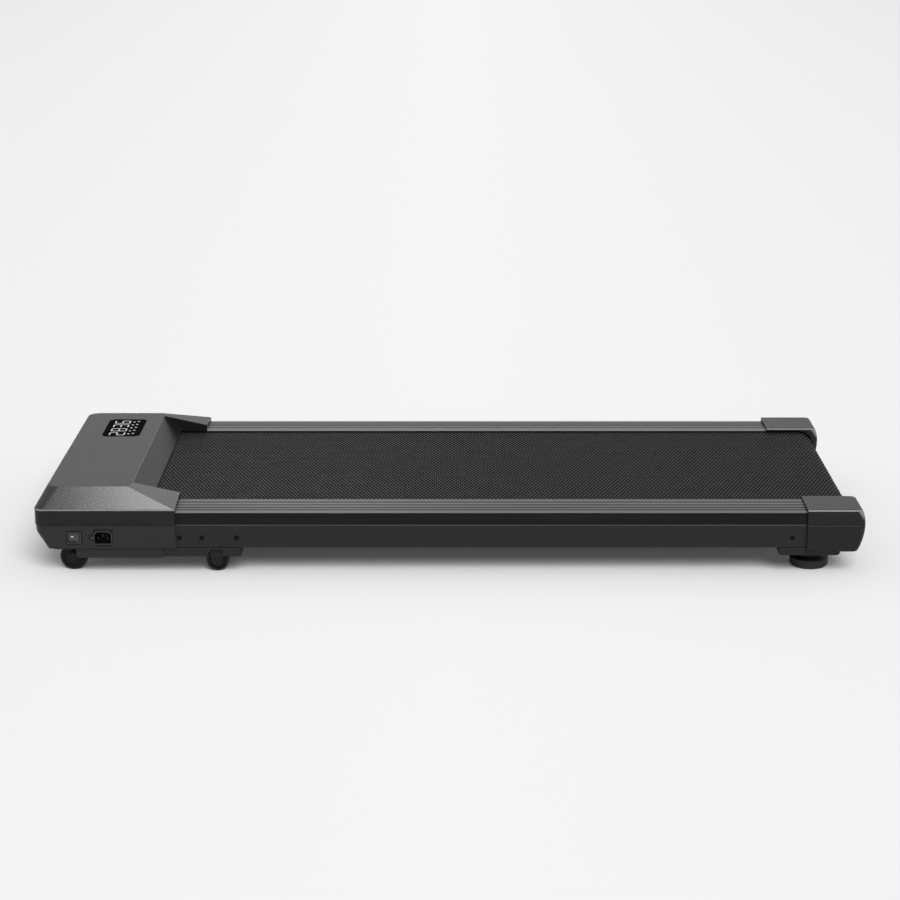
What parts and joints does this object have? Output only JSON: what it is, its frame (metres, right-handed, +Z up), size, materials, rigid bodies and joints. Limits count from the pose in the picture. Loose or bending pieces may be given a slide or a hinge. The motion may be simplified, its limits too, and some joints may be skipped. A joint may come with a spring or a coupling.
{
  "type": "walking pad",
  "caption": "Low walking pad: a motor-driven belt deck between ribbed foot rails, a faceted front hood with display, wheels and levelling feet.",
  "frame": {"origin": "on the floor, under the centre of the walking pad", "axes": "+X to the rear, the way the belt carries the user; +Y to the right of a user who faces the hood; +Z up"},
  "size_m": [1.2, 0.52, 0.1186],
  "materials": {
    "frame_paint": "black powder coat, satin",
    "black_bolt": "black oxide",
    "deck_board": "fibreboard with a waxed face",
    "soft_rubber": "matte",
    "zinc_steel": "zinc plated",
    "belt_pvc": "embossed matte belt face",
    "roller_steel": "turned steel",
    "bearing_steel": "ground steel",
    "pulley_alloy": "turned",
    "motor_paint": "black enamel",
    "flywheel_iron": "turned iron",
    "heatsink_alloy": "extruded",
    "board_green": "circuit board",
    "rail_alloy": "dark anodised, satin",
    "hood_plastic": "fine spark texture, charcoal",
    "skirt_plastic": "fine spark texture, black",
    "lens_black": "gloss",
    "board_black": "matte",
    "switch_plastic": "semi gloss",
    "rocker_plastic": "semi gloss",
    "pin_brass": "nickel on brass",
    "wheel_plastic": "satin",
    "foot_rubber": "matte",
    "cap_plastic": "fine spark texture, dark grey"
  },
  "bodies": {
    "frame": {"side_tube_left": "frame_paint", "side_tube_right": "frame_paint", "deck_cross_members": "frame_paint", "front_side_plate_left": "frame_paint", "front_side_plate_right": "frame_paint", "nose_tube": "frame_paint", "frame_bolts": "black_bolt", "running_deck": "deck_board", "deck_cushions": "soft_rubber", "deck_screws": "zinc_steel", "running_belt": "belt_pvc", "front_roller_shaft": "zinc_steel", "rear_roller_shaft": "zinc_steel", "tension_bolts": "black_bolt", "drive_belt": "soft_rubber", "motor_can": "motor_paint", "motor_plate": "frame_paint", "control_heatsink": "heatsink_alloy", "control_board": "board_green", "foot_rail_left": "rail_alloy", "foot_rail_right": "rail_alloy", "hood_top_shell": "hood_plastic", "hood_lower_shell": "skirt_plastic", "bottom_pan": "skirt_plastic", "display_lens": "lens_black", "display_board": "board_black", "rocker_housing": "switch_plastic", "inlet_body": "switch_plastic", "inlet_pins": "pin_brass", "front_wheel_brackets": "frame_paint", "front_wheel_axles": "zinc_steel", "mid_wheel_forks": "frame_paint", "mid_wheel_axles": "zinc_steel", "mid_bracket_left": "frame_paint", "mid_bracket_right": "frame_paint", "rear_bracket_left": "frame_paint", "rear_bracket_right": "frame_paint", "foot_nuts": "zinc_steel", "end_cap_left": "cap_plastic", "end_cap_right": "cap_plastic"},
    "front_roller": {"front_roller": "roller_steel", "front_roller_bearings": "bearing_steel", "drive_pulley": "pulley_alloy"},
    "rear_roller": {"rear_roller": "roller_steel", "rear_roller_bearings": "bearing_steel"},
    "motor_rotor": {"motor_shaft": "zinc_steel", "motor_pulley": "pulley_alloy", "motor_flywheel": "flywheel_iron"},
    "front_wheel_left": {"front_wheel_left": "wheel_plastic"},
    "front_wheel_right": {"front_wheel_right": "wheel_plastic"},
    "mid_wheel_left": {"mid_wheel_left": "wheel_plastic"},
    "mid_wheel_right": {"mid_wheel_right": "wheel_plastic"},
    "foot_left": {"foot_pad_left": "foot_rubber", "foot_stud_left": "zinc_steel"},
    "foot_right": {"foot_pad_right": "foot_rubber", "foot_stud_right": "zinc_steel"},
    "rocker": {"rocker_button": "rocker_plastic"}
  },
  "joints": [
    {"name": "front_roller_spin", "type": "hinge", "parent": "frame", "child": "front_roller", "pos_m": [-0.47, 0, 0.0681], "axis": [0, 1, 0], "continuous": true},
    {"name": "rear_roller_spin", "type": "hinge", "parent": "frame", "child": "rear_roller", "pos_m": [0.567, 0, 0.0681], "axis": [0, 1, 0], "continuous": true},
    {"name": "motor_spin", "type": "hinge", "parent": "frame", "child": "motor_rotor", "pos_m": [-0.528, 0, 0.07], "axis": [0, 1, 0], "continuous": true},
    {"name": "front_wheel_left_spin", "type": "hinge", "parent": "frame", "child": "front_wheel_left", "pos_m": [-0.548, -0.2235, 0.02], "axis": [0, 1, 0], "continuous": true},
    {"name": "front_wheel_right_spin", "type": "hinge", "parent": "frame", "child": "front_wheel_right", "pos_m": [-0.548, 0.2235, 0.02], "axis": [0, 1, 0], "continuous": true},
    {"name": "mid_wheel_left_spin", "type": "hinge", "parent": "frame", "child": "mid_wheel_left", "pos_m": [-0.338, -0.233, 0.017], "axis": [0, 1, 0], "continuous": true},
    {"name": "mid_wheel_right_spin", "type": "hinge", "parent": "frame", "child": "mid_wheel_right", "pos_m": [-0.338, 0.233, 0.017], "axis": [0, 1, 0], "continuous": true},
    {"name": "foot_left_screw", "type": "slide", "parent": "frame", "child": "foot_left", "axis": [0, 0, -1], "range_m": [-0.005, 0.01]},
    {"name": "foot_right_screw", "type": "slide", "parent": "frame", "child": "foot_right", "axis": [0, 0, -1], "range_m": [-0.005, 0.01]},
    {"name": "rocker_tip", "type": "hinge", "parent": "frame", "child": "rocker", "pos_m": [-0.5425, -0.2546, 0.056], "axis": [0, 0, 1], "range_deg": [0, 16]}
  ],
  "couplings": [
    {"joint": "rear_roller_spin", "follows": "front_roller_spin", "ratio": 1},
    {"joint": "motor_spin", "follows": "front_roller_spin", "ratio": 2.25}
  ]
}
